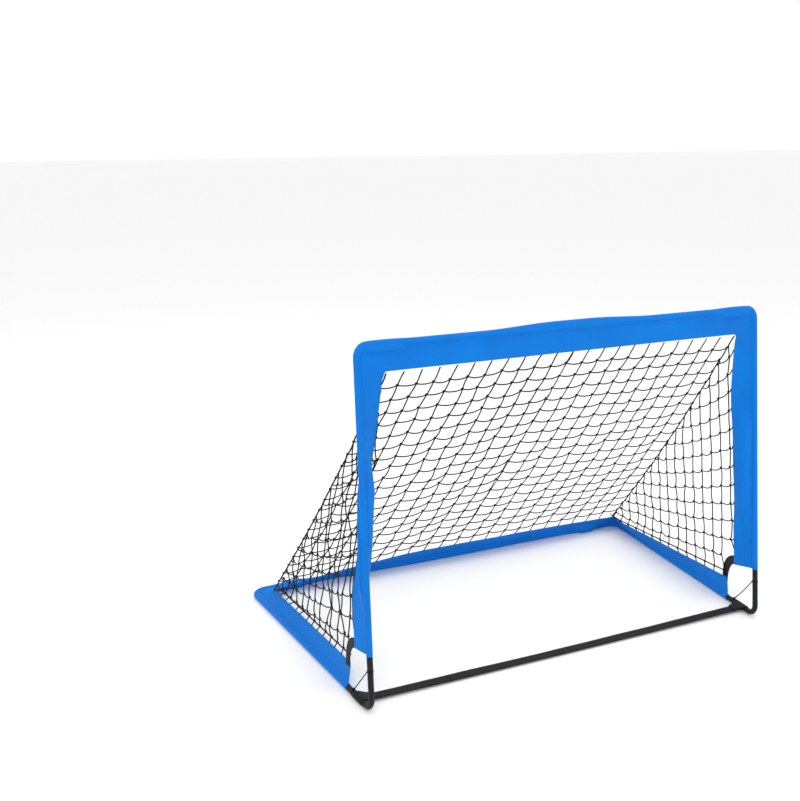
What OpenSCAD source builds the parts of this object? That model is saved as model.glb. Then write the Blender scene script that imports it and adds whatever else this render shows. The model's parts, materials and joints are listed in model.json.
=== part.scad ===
// Pop up goal: two bent side frames, a crossbar and a rear bar that each hinge in the middle,
// covered by fabric sleeves that carry a knotted net. Everything is in millimetres.
// +X is to the goal's right, -Y is the open front, +Z is up, and z = 0 is the ground.

/* [Goal] */
// Width across the front posts, outside to outside
goal_w = 1200; // [900:10:1500]
// Width across the rear corners, outside to outside
rear_w = 1320; // [1200:10:1600]
// Overall height
goal_h = 900; // [700:10:1100]
// Overall depth
goal_d = 800; // [600:10:1000]
// Angle that the front posts lean back
lean = 5; // [0:1:8]

/* [Tube] */
// Outer diameter of the steel tube
tube_d = 13; // [12:0.5:14]
// Wall thickness of the steel tube
tube_wall = 0.9; // [0.8:0.1:1.2]
// Centreline radius of the bend at the top corners
top_bend = 27; // [24:1:40]
// Centreline radius of the bend at the bottom front corners
foot_bend = 28; // [24:1:40]
// Centreline radius of the bend at the rear corners
rear_bend = 34; // [30:1:50]

/* [Hinges] */
// Distance from the middle of the goal to each end hinge
hinge_x = 525; // [480:5:540]
// Offset of a hinge pin from the centreline of its tube
pin_off = 8.5; // [8:0.5:10]
// Diameter of the hinge pins
pin_d = 4; // [3:0.5:5]
// Radius of the round lugs that the pins pass through
lug_r = 4.5; // [4.5:0.1:5]

/* [Fabric] */
// Width of the flat fabric bands, from the outside of the tube to the inner edge
band_w = 75; // [60:1:90]
// Thickness of the doubled fabric
cloth = 1.6; // [1:0.1:2]
// Height above the ground at which the post sleeves end
post_end = 145; // [120:5:180]
// Distance behind the front corner at which the base sleeves begin
base_start = 130; // [125:1:160]
// Width of the strap that lies across the mouth
strap_w = 31; // [20:1:40]
// Distance of the strap's middle behind the front corners
strap_at = 66; // [55:1:75]
// Width of the webbing that joins a post sleeve to a base sleeve
webbing_w = 25; // [15:1:30]

/* [Net and cords] */
// Thickness of the net
net_t = 1.6; // [1:0.1:3]
// Diameter of the rope round the edge of the net
rope_d = 3.2; // [2.5:0.1:5]
// Diameter of the brace cord at the bottom front corners
brace_d = 2.8; // [2:0.1:4]
// How far up the post, and how far back, the brace cord is tied
brace_at = 99; // [96:1:115]

/* [Hidden] */
$fn = 48;

tube_r = tube_d / 2;
bore_r = tube_r - tube_wall;
plug_r = bore_r - 0.05;
pin_r = pin_d / 2;
lug_top = pin_off + lug_r;

// The fabric hem is a loose sleeve round the tube, and the cover a closer one.
hem_in = tube_r + 0.3;
hem_out = hem_in + 1;
cover_in = tube_r + 0.1;
cover_out = cover_in + 0.6;
loop_in = cover_out + 0.1;
loop_out = loop_in + 0.7;
edge = 8.6;

// Corner points of the tube's centreline, before the corners are rounded, on the right side.
base_z = edge;
front_y = -goal_d / 2 + cover_out - foot_bend * (tan(45 + lean / 2) * sin(lean) + cos(lean) - 1);
rear_y = goal_d / 2 - lug_top;
bar_z = goal_h - lug_top;
foot = [goal_w / 2 - edge, front_y, base_z];
top = [foot.x, front_y + (bar_z - base_z) * tan(lean), bar_z];
heel = [rear_w / 2 - edge, rear_y, base_z];

// Directions: up a post, back along a base tube, and inwards.
up = [0, sin(lean), cos(lean)];
back = unit(heel - foot);
inward = [-1, 0, 0];
fwd = [0, cos(lean), -sin(lean)];

// Where the tubes end at a hinge, and where the hems stop short of one.
head = 7;
plug = 20;
hem_gap = 22;
top_end = [hinge_x + head, top.y, top.z];
rear_end = [hinge_x + head, heel.y, heel.z];

// The inner edge of a fabric band lies this far from the tube's centreline.
reach = band_w - edge;
slack = 0.6;

// The net rises from the rear bar to the crossbar at this angle.
rise = atan2(top.z - reach - base_z, heel.y - top.y);

function unit(v) = v / norm(v);
function mix(a, b, t) = a + (b - a) * t;
function ease(t) = let (c = min(max(t, 0), 1)) c * c * (3 - 2 * c);

// Height above the ground of the start and the end of a post sleeve's twist.
twist_low = 320;
twist_high = 800;
// Angle that the bottom of a post sleeve stops short of straight back.
short_of_back = 3;

// Direction of the post band at a height: inwards at the top, backwards at the bottom.
function post_dir(z) =
    let (q = min(max((twist_high - z) / (twist_high - twist_low), 0), 1),
        a = (90 - short_of_back) * (1 - pow(1 - q, 1.35)))
    inward * cos(a) + fwd * sin(a);

// Angles of the bands to the ground: the base band in front, and both bands at the rear corner.
base_tilt = 84;
rear_tilt = 10;
// Share of the base band's length at which it starts to lie down.
tilt_from = 0.55;

// Direction of the base band at a share of its length: upright in front, flat at the back.
function base_dir(t) =
    let (a = mix(base_tilt, rear_tilt, ease((t - tilt_from) / (1 - tilt_from))),
        level = unit(cross([0, 0, 1], back)))
    level * cos(a) + [0, 0, 1] * sin(a);

// Direction of the rear band at a distance from the middle: on the net's slope in the middle,
// and turned down to the corner within this length.
rear_turn = 200;
function rear_dir(x) =
    let (t = ease((goal_w / 2 - 20 - x) / rear_turn), a = mix(rear_tilt, rise, t))
    [0, -cos(a), sin(a)];

function on_post(z) = mix(foot, top, (z - base_z) / (top.z - base_z));
function on_base(d) = foot + back * d;

// Points round a corner of the given radius, from direction u to direction v.
arc_steps = 6;
function corner(p, u, v, r, n = arc_steps) =
    let (turn = acos(u * v), t = r * tan(turn / 2), w = unit(v - u * (u * v)),
        c = p - u * t + w * r)
    [for (i = [0:n]) let (a = turn * i / n) c - w * r * cos(a) + u * r * sin(a)];

function corner_dirs(u, v, n = arc_steps) =
    let (turn = acos(u * v), w = unit(v - u * (u * v)))
    [for (i = [0:n]) let (a = turn * i / n) u * cos(a) + w * sin(a)];

// The tube's centreline under a sleeve, its direction, and the inner edge of the band.
inner_r = 9;
corner_room = 22;
post_steps = 18;
post_to = top.z - reach - corner_room;
post_zs = [for (i = [0:post_steps]) mix(post_end, post_to, i / post_steps)];
stub_top = [hinge_x + hem_gap, top.y, top.z];
post_line = concat([for (z = post_zs) on_post(z)], corner(top, up, inward, top_bend), [stub_top]);
post_way = concat([for (z = post_zs) up], corner_dirs(up, inward), [inward]);
post_tips = concat([for (z = post_zs) on_post(z) + post_dir(z) * reach],
    corner(top + (inward - up) * reach, up, inward, inner_r), [stub_top - up * reach]);

base_steps = 16;
base_len = norm(heel - foot);
base_to = base_len - reach - corner_room - 2;
base_ts = [for (i = [0:base_steps]) i / base_steps];
stub_rear = [hinge_x + hem_gap, heel.y, heel.z];
heel_in = heel + (base_dir(1) + rear_dir(goal_w)) * reach;
function base_at(t) = on_base(mix(base_start, base_to, t));
base_line = concat([for (t = base_ts) base_at(t)], corner(heel, back, inward, rear_bend),
    [stub_rear]);
base_way = concat([for (t = base_ts) back], corner_dirs(back, inward), [inward]);
base_tips = concat([for (t = base_ts) base_at(t) + base_dir(t) * reach],
    corner(heel_in, back, inward, inner_r),
    [stub_rear + rear_dir(hinge_x + hem_gap) * reach]);

rear_steps = 8;
rear_xs = [for (i = [0:rear_steps]) mix(hem_gap, hinge_x - hem_gap, i / rear_steps)];

// Colours
steel_black = [0.06, 0.06, 0.065];
zinc = [0.62, 0.63, 0.65];
blue = [0.03, 0.42, 0.86];
webbing_black = [0.05, 0.05, 0.05];
net_black = [0.08, 0.08, 0.085];

// ---------- shared shapes ----------

// Puts the children in a frame whose origin, x axis and y axis are given.
module place(o, ex, ey) {
    ez = cross(ex, ey);
    multmatrix([[ex.x, ey.x, ez.x, o.x], [ex.y, ey.y, ez.y, o.y], [ex.z, ey.z, ez.z, o.z],
        [0, 0, 0, 1]]) children();
}

// The right side's pieces, mirrored for the left side.
module side(s) {
    if (s > 0) children();
    else mirror([1, 0, 0]) children();
}

module rod(a, b, r) {
    d = b - a;
    translate(a) rotate([0, acos(d.z / norm(d)), atan2(d.y, d.x)])
        cylinder(h = norm(d), r = r);
}

// Straight hollow bar.
module straight_pipe(a, b, r_out, r_in) {
    u = unit(b - a);
    difference() {
        rod(a, b, r_out);
        rod(a - u, b + u, r_in);
    }
}

// Two triangles of a four-sided face, split from a to c, or from b to d.
function quad(a, b, c, d, swap) = swap ? [[a, b, d], [b, c, d]] : [[a, b, c], [a, c, d]];

// Triangles of one wall between two rings of n points, wound so that it faces outwards. Its
// face number swap is split the other way, so that both faces of a thin band split alike.
function wall(p, q, n, flip = false, swap = -1) =
    [for (k = [0:n - 1]) let (m = (k + 1) % n)
        each flip ? quad(p + k, p + m, q + m, q + k, false)
            : quad(p + k, q + k, q + m, p + m, k == swap)];

// Triangles of a flat ring between two loops of points, with n steps.
function cap(p, q, n, flip = false) = wall(p, q, n, flip);

// Hollow bar through the centres c, with its direction t at each of them.
bar_sides = 24;
module bent_pipe(c, t, r_out, r_in) {
    n = bar_sides;
    count = len(c);
    ref = unit([0.31, 0.62, 0.72]);
    pts = [for (r = [r_out, r_in]) for (i = [0:count - 1])
        let (s = unit(cross(t[i], ref)), w = cross(t[i], s)) for (k = [0:n - 1])
            c[i] + (s * cos(360 * k / n) + w * sin(360 * k / n)) * r];
    inner = n * count;
    last = n * (count - 1);
    walls = [for (i = [0:count - 2]) each concat(wall(n * i, n * (i + 1), n),
        wall(inner + n * i, inner + n * (i + 1), n, true))];
    polyhedron(pts, concat(walls, cap(0, inner, n, true), cap(last, inner + last, n)));
}

// Round hem along the centres c with a flat band from it out to the points in tips.
module hem_and_band(c, t, tips, r_out, r_in) {
    n = bar_sides;
    m = n + 2;
    count = len(c);
    half = cloth / 2;
    a0 = asin(half / r_out);
    step = (360 - 2 * a0) / (n - 1);
    pts = concat(
        [for (i = [0:count - 1]) let (e = tips[i] - c[i], d = unit(e - t[i] * (e * t[i])),
            w = cross(t[i], d))
            each concat([for (k = [0:n - 1]) let (a = a0 + step * k)
                c[i] + (d * cos(a) + w * sin(a)) * r_out],
                [tips[i] - w * half, tips[i] + w * half])],
        [for (i = [0:count - 1]) let (e = tips[i] - c[i], d = unit(e - t[i] * (e * t[i])),
            w = cross(t[i], d)) for (k = [0:n - 1]) let (a = a0 + step * k)
                c[i] + (d * cos(a) + w * sin(a)) * r_in]);
    inner = m * count;
    walls = [for (i = [0:count - 2]) each concat(wall(m * i, m * (i + 1), m, false, m - 1),
        wall(inner + n * i, inner + n * (i + 1), n, true))];
    p = m * (count - 1);
    q = inner + n * (count - 1);
    polyhedron(pts, concat(walls, cap(0, inner, n, true), cap(p, q, n),
        [[0, n - 1, n], [0, n, n + 1], [p, p + n, p + n - 1], [p, p + n + 1, p + n]]));
}

function across(a, b, i) =
    let (j = max(i - 1, 0), k = min(i + 1, len(a) - 1))
    unit(cross(a[k] - a[j] + b[k] - b[j], b[i] - a[i]));

// A thin sheet between two rails with the same number of points.
module sheet(a, b, t) {
    n = len(a);
    pts = [for (i = [0:n - 1]) let (m = across(a, b, i) * t / 2)
        each [a[i] + m, a[i] - m, b[i] - m, b[i] + m]];
    walls = [for (i = [0:n - 2]) each wall(4 * i, 4 * i + 4, 4, false, 3)];
    e = 4 * (n - 1);
    polyhedron(pts, concat([[0, 1, 2], [0, 2, 3]], walls, [[e, e + 2, e + 1], [e, e + 3, e + 2]]));
}

// A round rope along a list of points.
rope_sides = 8;
function heading(p, i) = unit(p[min(i + 1, len(p) - 1)] - p[max(i - 1, 0)]);
module rope(p, r) {
    n = len(p);
    pts = [for (i = [0:n - 1])
        let (h = heading(p, i), s = unit(cross(h, [0.31, 0.62, 0.72])), c = cross(h, s))
        for (k = [0:rope_sides - 1]) let (a = 360 * k / rope_sides)
            p[i] + (s * cos(a) + c * sin(a)) * r];
    walls = [for (i = [0:n - 2]) each wall(rope_sides * i, rope_sides * (i + 1), rope_sides)];
    first = [for (k = [0:rope_sides - 1]) k];
    last = [for (k = [rope_sides - 1:-1:0]) rope_sides * (n - 1) + k];
    polyhedron(pts, concat([first], walls, [last]));
}

// ---------- hinges ----------
// A hinge is drawn with its pin on the y axis and the tubes' centreline pin_off above it.
// The fork is on the +x side and the tongue on the -x side.

end_tongue = 2.9;
end_ears = [3.1, 6];
mid_tongue = 1.5;
mid_ears = [5, 7];
face = 0.15;
swing = lug_r + 0.3;

module pin_wise(h, r) rotate([90, 0, 0]) cylinder(h = h, r = r, center = true);

// Plug that sits in the tube, and the round head outside it, on the +x side.
module head_and_plug() {
    translate([face, 0, pin_off]) rotate([0, 90, 0]) cylinder(h = head - face, r = tube_r);
    translate([head - 0.5, 0, pin_off]) rotate([0, 90, 0])
        cylinder(h = plug + 0.5, r = plug_r);
}

// A lug of the given thickness round the pin, joined to the head.
module lug(h) {
    pin_wise(h, lug_r);
    translate([face, -h / 2, 0]) cube([head - face, h, pin_off]);
}

module fork(ears, tongue) {
    slot_h = 2 * ears[0];
    difference() {
        union() {
            difference() {
                head_and_plug();
                pin_wise(slot_h, swing);
            }
            difference() {
                lug(2 * ears[1]);
                translate([-lug_r - 1, -ears[0], -lug_r - 1])
                    cube([head + lug_r + 2, slot_h, lug_r + 1 + pin_off - tube_r + 1]);
                pin_wise(slot_h, swing);
            }
        }
        pin_wise(2 * ears[1] + 2, pin_r);
    }
}

module tongue(ears, half) {
    mirror([1, 0, 0]) difference() {
        union() {
            difference() {
                head_and_plug();
                pin_wise(2 * ears[1] + 2, swing);
            }
            lug(2 * half);
        }
        pin_wise(2 * half + 2, pin_r + 0.06);
    }
}

module hinge_pin(ears) {
    cap = 0.8;
    pin_wise(2 * ears[1], pin_r);
    for (s = [-1, 1]) translate([0, s * (ears[1] + cap / 2), 0]) pin_wise(cap, pin_r + 1);
}

// Pair of torsion springs, one on each side of the tongue, with a leg to each tube.
module torsion_spring() {
    wire = 0.8;
    coil_in = pin_r + 0.1;
    coil_w = 3 * wire;
    leg = 9;
    for (s = [-1, 1]) {
        translate([0, s * (mid_tongue + 0.4 + coil_w / 2), 0]) difference() {
            pin_wise(coil_w, coil_in + wire);
            pin_wise(coil_w + 1, coil_in);
        }
        for (k = [-1, 1])
            translate([k * leg / 2, s * (mid_tongue + 0.4 + coil_w / 2 + k * wire),
                -coil_in - wire / 2]) cube([leg, wire, wire], center = true);
    }
}

// The places of the hinges: the crossbar's lie in the plane of the posts, and the rear
// bar's lie flat. The middle pins are on the far side of the tube from the end pins.
module at_top(x, flip) {
    off = flip ? pin_off : -pin_off;
    place([x, top.y, top.z] + up * off, [1, 0, 0], fwd)
        mirror([0, 0, flip ? 1 : 0]) children();
}
module at_rear(x, flip) {
    off = flip ? pin_off : -pin_off;
    place([x, heel.y + off, heel.z], [1, 0, 0], [0, 0, -1])
        mirror([0, 0, flip ? 1 : 0]) children();
}

// ---------- side frames ----------

module side_tube(s) color(steel_black) side(s)
    bent_pipe(
        concat([top_end], corner(top, -inward, -up, top_bend), corner(foot, -up, back, foot_bend),
            corner(heel, back, inward, rear_bend), [rear_end]),
        concat([-inward], corner_dirs(-inward, -up), corner_dirs(-up, back),
            corner_dirs(back, inward), [inward]),
        tube_r, bore_r);

// Black fabric tube over the bare corner at the foot.
module corner_cover(s) color(webbing_black) side(s)
    bent_pipe(
        concat([on_post(post_end - 1)], corner(foot, -up, back, foot_bend),
            [on_base(base_start - 1)]),
        concat([-up], corner_dirs(-up, back), [back]), cover_out, cover_in);

module top_hinge_fork(s) color(zinc) side(s)
    at_top(hinge_x, false) fork(end_ears, end_tongue);
module top_hinge_pin(s) color(zinc) side(s) at_top(hinge_x, false) hinge_pin(end_ears);
module rear_hinge_fork(s) color(zinc) side(s)
    at_rear(hinge_x, false) fork(end_ears, end_tongue);
module rear_hinge_pin(s) color(zinc) side(s) at_rear(hinge_x, false) hinge_pin(end_ears);

// ---------- crossbar and rear bar ----------

bar_span = hinge_x - 2 * head;
module bar_tube() rotate([0, 90, 0]) difference() {
    cylinder(h = bar_span, r = tube_r);
    translate([0, 0, -1]) cylinder(h = bar_span + 2, r = bore_r);
}

module crossbar_tube(s) color(steel_black) side(s)
    translate([head, top.y, top.z]) bar_tube();
module rear_tube(s) color(steel_black) side(s)
    translate([head, heel.y, heel.z]) bar_tube();
module crossbar_end_tongue(s) color(zinc) side(s)
    at_top(hinge_x, false) tongue(end_ears, end_tongue);
module rear_end_tongue(s) color(zinc) side(s)
    at_rear(hinge_x, false) tongue(end_ears, end_tongue);

module crossbar_centre_fork() color(zinc) at_top(0, true) fork(mid_ears, mid_tongue);
module crossbar_centre_tongue() color(zinc) at_top(0, true) tongue(mid_ears, mid_tongue);
module crossbar_centre_pin() color(zinc) at_top(0, true) hinge_pin(mid_ears);
module crossbar_spring() color(zinc) at_top(0, true) torsion_spring();
module rear_centre_fork() color(zinc) at_rear(0, true) fork(mid_ears, mid_tongue);
// The rear middle pin turns in a looser hole than the others.
module rear_centre_tongue() color(zinc) at_rear(0, true) difference() {
    tongue(mid_ears, mid_tongue);
    pin_wise(2 * mid_tongue + 2, pin_r + 0.3);
}
module rear_centre_pin() color(zinc) at_rear(0, true) hinge_pin(mid_ears);
module rear_spring() color(zinc) at_rear(0, true) torsion_spring();

// ---------- fabric ----------

// Hem round the post and the top corner, and the band hanging from it.
module post_sleeve(s) color(blue) side(s)
    hem_and_band(post_line, post_way, post_tips, hem_out, hem_in);

// Hem round the base tube and the rear corner, its band, and the flat seam it rests on.
module base_sleeve(s) color(blue) side(s) {
    hem_and_band(base_line, base_way, base_tips, hem_out, hem_in);
    seam_w = 8;
    seam_t = 1.2;
    seam_end = 60;
    translate([base_at(0).x, base_at(0).y, 0]) rotate([0, 0, atan2(back.y, back.x)])
        translate([0, -seam_w / 2, 0])
        cube([base_len - base_start - seam_end, seam_w, seam_t]);
}

clear_lug = lug_top + 2;
module crossbar_sleeve(s) color(blue) side(s) place([0, top.y, top.z], [1, 0, 0], fwd) {
    long = hinge_x - 2 * hem_gap;
    translate([hem_gap, 0, 0]) rotate([0, 90, 0]) difference() {
        cylinder(h = long, r = hem_out);
        translate([0, 0, -1]) cylinder(h = long + 2, r = hem_in);
    }
    translate([hem_gap, -cloth / 2, -reach]) cube([long, cloth, reach - hem_out + 0.5]);
    translate([slack, -cloth / 2, -reach])
        cube([hinge_x + hem_gap - 2 * slack, cloth, reach - clear_lug]);
}

// The rear band twists, so its hem and band are one swept shape.
module rear_sleeve(s) color(blue) side(s)
    hem_and_band([for (x = rear_xs) [x, heel.y, heel.z]], [for (x = rear_xs) [1, 0, 0]],
        [for (x = rear_xs) [x, heel.y, heel.z] + rear_dir(x) * reach], hem_out, hem_in);

// Arc of webbing from the bottom of the post sleeve to the front of the base sleeve.
ring_back = 47;
ring_up = 67;
ring_inside = 14;
ring_low = -9;
module corner_webbing(s) color(webbing_black) side(s) {
    ring_r = base_start - ring_back;
    t = 1.4;
    c = on_base(ring_back) + [0, 0, ring_up];
    place(c + inward * ring_inside, [0, 1, 0], [0, 0, 1])
        rotate([0, 0, ring_low]) translate([0, 0, -t / 2]) rotate_extrude(angle = 90)
        translate([ring_r - webbing_w / 2, 0]) square([webbing_w, t]);
}

// Brace cord between the post and the base tube, knotted at both ends.
module brace_cord(s) color(net_black) side(s) {
    knot_r = 2.6;
    off = cover_out + knot_r;
    a = on_post(base_z + brace_at) + [0, 1, 0] * off;
    b = on_base(brace_at) + [0, 0, 1] * off;
    rod(a, b, brace_d / 2);
    translate(a) sphere(knot_r);
    translate(b) sphere(knot_r);
}

// Half of the strap across the mouth, with the loop that holds it to the base tube.
strap_t = 1.6;
module front_strap(s) color(webbing_black) side(s) {
    p = on_base(strap_at);
    a = on_base(strap_at - strap_w / 2);
    b = on_base(strap_at + strap_w / 2);
    into = loop_out - 0.5;
    translate([0, 0, p.z - strap_t / 2]) linear_extrude(strap_t)
        polygon([[slack / 2, a.y], [a.x - into, a.y], [b.x - into, b.y], [slack / 2, b.y]]);
    straight_pipe(a, b, loop_out, loop_in);
}

// Stitched patch with hollowed edges that spreads the end of the strap along the base tube.
module strap_patch(s) color(webbing_black) side(s) {
    p = on_base(strap_at);
    patch_l = 52;
    patch_w = 46;
    scoop = 30;
    t = 1;
    translate([p.x, p.y, p.z + strap_t / 2 + 0.2]) rotate([0, 0, atan2(back.y, back.x) - 90])
        translate([-loop_out - 1, 0, 0]) linear_extrude(t) difference() {
            translate([-patch_w, -patch_l / 2]) square([patch_w, patch_l]);
            for (k = [-1, 1]) translate([-patch_w, k * (strap_w / 2 + scoop)]) circle(scoop);
        }
}

// ---------- net ----------

gap = 5.5;
net_top = reach + gap;
// Points where the two upper and the two lower corners of the back of the net are.
mitre_top = top - up * net_top + inward * net_top;
mitre_rear = heel + (base_dir(1) + rear_dir(goal_w)) * net_top;
crease_steps = 12;
crease_sag = 9;
function crease(t) = mix(mitre_top, mitre_rear, t) - [0, 1, 1] * crease_sag * sin(180 * t);

// The back of the net, between the crossbar's band and the rear bar's band.
module back_net(s) color(net_black) side(s) {
    a = [for (i = [0:crease_steps]) let (t = mix(0.01, 0.99, i / crease_steps))
        crease(t) + inward * gap];
    middle_top = [slack, 0, 0] + [0, mitre_top.y, mitre_top.z];
    middle_rear = [slack, heel.y, heel.z] + rear_dir(0) * net_top;
    b = [for (i = [0:crease_steps]) mix(middle_top, middle_rear, i / crease_steps)];
    sheet(a, b, net_t);
}

// The side of the net, between the crease and the edges of the post and base sleeves.
function post_edge(out) = [for (i = [post_steps:-1:1])
    on_post(post_zs[i]) + post_dir(post_zs[i]) * out];
function base_edge(out) = [for (i = [1:base_steps])
    base_at(base_ts[i]) + base_dir(base_ts[i]) * out];
module side_net(s) color(net_black) side(s) {
    a = concat(post_edge(net_top), base_edge(net_top));
    n = len(a) - 1;
    b = [for (i = [0:n]) crease(mix(0.08, 0.92, i / n)) + [gap, -gap, 0] / 2];
    sheet(a, b, net_t);
}

// Rope threaded through the edge of the net, along the inner edges of the bands.
rope_out = reach + 1.9;
rope_bend = 8;
module net_rope(s) color(net_black) side(s) {
    upper = concat([for (x = [8, 200, 360, 500]) [x, top.y, top.z] - up * rope_out],
        corner(top + (inward - up) * rope_out, -inward, -up, rope_bend, 3), post_edge(rope_out));
    lower = concat(base_edge(rope_out),
        corner(heel + (base_dir(1) + rear_dir(goal_w)) * rope_out, back, inward, rope_bend, 3),
        [for (x = [560, 500, 440, 380, 320, 200, 8])
            [x, heel.y, heel.z] + rear_dir(x) * rope_out]);
    rope(concat(upper, lower), rope_d / 2);
}

side_tube(1);  // side_tube_right
side_tube(-1);  // side_tube_left
corner_cover(1);  // corner_cover_right
corner_cover(-1);  // corner_cover_left
top_hinge_fork(1);  // top_hinge_fork_right
top_hinge_fork(-1);  // top_hinge_fork_left
top_hinge_pin(1);  // top_hinge_pin_right
top_hinge_pin(-1);  // top_hinge_pin_left
rear_hinge_fork(1);  // rear_hinge_fork_right
rear_hinge_fork(-1);  // rear_hinge_fork_left
rear_hinge_pin(1);  // rear_hinge_pin_right
rear_hinge_pin(-1);  // rear_hinge_pin_left
post_sleeve(1);  // post_sleeve_right
post_sleeve(-1);  // post_sleeve_left
base_sleeve(1);  // base_sleeve_right
base_sleeve(-1);  // base_sleeve_left
corner_webbing(1);  // corner_webbing_right
corner_webbing(-1);  // corner_webbing_left
brace_cord(1);  // brace_cord_right
brace_cord(-1);  // brace_cord_left
front_strap(1);  // front_strap_right
front_strap(-1);  // front_strap_left
strap_patch(1);  // strap_patch_right
strap_patch(-1);  // strap_patch_left
side_net(1);  // side_net_right
side_net(-1);  // side_net_left
back_net(1);  // back_net_right
back_net(-1);  // back_net_left
net_rope(1);  // net_rope_right
net_rope(-1);  // net_rope_left
crossbar_tube(1);  // crossbar_tube_right
crossbar_tube(-1);  // crossbar_tube_left
crossbar_end_tongue(1);  // crossbar_end_tongue_right
crossbar_end_tongue(-1);  // crossbar_end_tongue_left
crossbar_centre_fork();
crossbar_centre_tongue();
crossbar_centre_pin();
crossbar_spring();
crossbar_sleeve(1);  // crossbar_sleeve_right
crossbar_sleeve(-1);  // crossbar_sleeve_left
rear_tube(1);  // rear_tube_right
rear_tube(-1);  // rear_tube_left
rear_end_tongue(1);  // rear_end_tongue_right
rear_end_tongue(-1);  // rear_end_tongue_left
rear_centre_fork();
rear_centre_tongue();
rear_centre_pin();
rear_spring();
rear_sleeve(1);  // rear_sleeve_right
rear_sleeve(-1);  // rear_sleeve_left
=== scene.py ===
import json
import math

import bpy
import numpy as np
from mathutils import Matrix, Vector, noise


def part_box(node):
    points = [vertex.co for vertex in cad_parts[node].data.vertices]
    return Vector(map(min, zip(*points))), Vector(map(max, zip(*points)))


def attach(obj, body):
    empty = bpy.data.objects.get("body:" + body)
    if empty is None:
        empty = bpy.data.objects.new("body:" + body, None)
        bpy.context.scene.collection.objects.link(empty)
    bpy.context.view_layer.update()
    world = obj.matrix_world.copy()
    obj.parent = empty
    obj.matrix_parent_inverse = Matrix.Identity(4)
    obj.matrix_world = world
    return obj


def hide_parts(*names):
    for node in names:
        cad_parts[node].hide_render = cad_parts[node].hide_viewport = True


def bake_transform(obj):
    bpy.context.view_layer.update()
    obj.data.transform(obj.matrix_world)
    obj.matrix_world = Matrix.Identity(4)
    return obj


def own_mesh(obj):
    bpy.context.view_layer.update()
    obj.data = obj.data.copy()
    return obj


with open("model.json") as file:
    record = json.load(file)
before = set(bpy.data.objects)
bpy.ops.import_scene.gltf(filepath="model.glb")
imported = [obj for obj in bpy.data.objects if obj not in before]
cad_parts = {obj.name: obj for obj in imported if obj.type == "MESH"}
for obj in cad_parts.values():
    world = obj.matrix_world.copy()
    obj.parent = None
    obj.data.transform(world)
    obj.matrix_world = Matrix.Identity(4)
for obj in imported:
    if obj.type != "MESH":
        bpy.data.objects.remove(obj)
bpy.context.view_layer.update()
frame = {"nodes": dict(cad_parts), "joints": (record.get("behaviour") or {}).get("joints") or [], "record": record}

# ---------- measures, in metres and radians ----------

# from a tube's centre: its hinge pins, its cover and the bands' inner edge
PIN_OFF, COVER_R, REACH = 0.0085, 0.0072, 0.0664
# the doubled cloth's thickness, and the round hem's radius
CLOTH, HEM_R = 0.0018, 0.0080
# bends of the frame's corners and of the bands' inner corners
TOP_BEND, FOOT_BEND, REAR_BEND, INNER_R = 0.027, 0.028, 0.034, 0.009
# where the sleeves end, and how far short of a corner their straight lengths stop
POST_END, BASE_START = 0.145, 0.130
POST_SHORT, BASE_SHORT, CORNER_GAP = 0.022, 0.024, 0.004
# each post band turns by POST_TURN between these two heights
TWIST_HIGH = {"right": 0.830, "left": 0.850}
TWIST_LOW = {"right": 0.180, "left": 0.290}
TWIST_POWER = {"right": 1.35, "left": 1.0}
POST_TURN = {"right": math.radians(70), "left": math.radians(101)}
# the base band's lean at the front and at the rear corner, where it is narrower
BASE_TILT = math.radians(84)
REAR_TILT = {"right": math.radians(50), "left": math.radians(18)}
CORNER_SHARE = 0.77
PEG_FRONT = 0.115
# where a post band opens into a loose tube, in heights, and how much
LOOSE_LOW, LOOSE_HIGH, LOOSE_OVER, LOOSE_SHORT = 0.22, 0.66, 0.14, 0.10
NET_TOP = REACH + 0.0055
HALF_FRONT, REAR_FLAT = 0.600, 0.02
MESH_STEP = 0.007
# the crossbar's sleeve is three pieces, divided this far from the middle
SPLIT_X = 0.265
BLEND_W, MIDDLE_BLEND = 0.050, 0.014
# how far each kind of hinge bulges the sleeve along the tube
MIDDLE_HALF, END_HALF, LUG_HALF = 0.255, 0.085, 0.046
FOLDED_W, HALF_GAP, REST_Z = 0.0850, 0.00005, 0.0002
TOP_SEED, BASE_SEED = 11.3, 5.1

def vec(*v):
    return np.array(v, float)


def unit(v):
    return v / np.linalg.norm(v)


def mix(a, b, t):
    return a + (b - a) * t


def ease(t):
    t = np.clip(t, 0.0, 1.0)
    return t * t * (3 - 2 * t)


# ---------- the frame's corners and directions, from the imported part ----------

JOINTS = {j["name"]: j for j in frame["joints"]}
fold_pin = vec(*JOINTS["fold"]["pos_m"])
rear_pin = vec(*JOINTS["rear_right_end"]["pos_m"])
lean = math.asin(JOINTS["fold"]["axis"][2])
HINGE_X = fold_pin[0]

UP = vec(0, math.sin(lean), math.cos(lean))
FWD = vec(0, math.cos(lean), -math.sin(lean))
IN = vec(-1, 0, 0)

cover_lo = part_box("corner_cover_right")[0]
top = fold_pin + UP * PIN_OFF
top[0] = cover_lo.x + COVER_R
PEGS = {m["name"]: vec(*m["pos_m"]) for m in frame["record"]["mounts"]}
BACK = unit(PEGS["peg_point_rear_right"] - PEGS["peg_point_front_right"])
foot = PEGS["peg_point_front_right"] - BACK * PEG_FRONT
heel = foot + BACK * ((rear_pin[1] + PIN_OFF - foot[1]) / BACK[1])
BASE_LEN = float(np.linalg.norm(heel - foot))
BASE_TO = BASE_LEN - REACH - BASE_SHORT
POST_TO = top[2] - REACH - POST_SHORT
RISE = math.atan2(top[2] - REACH - foot[2], heel[1] - top[1])


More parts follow.
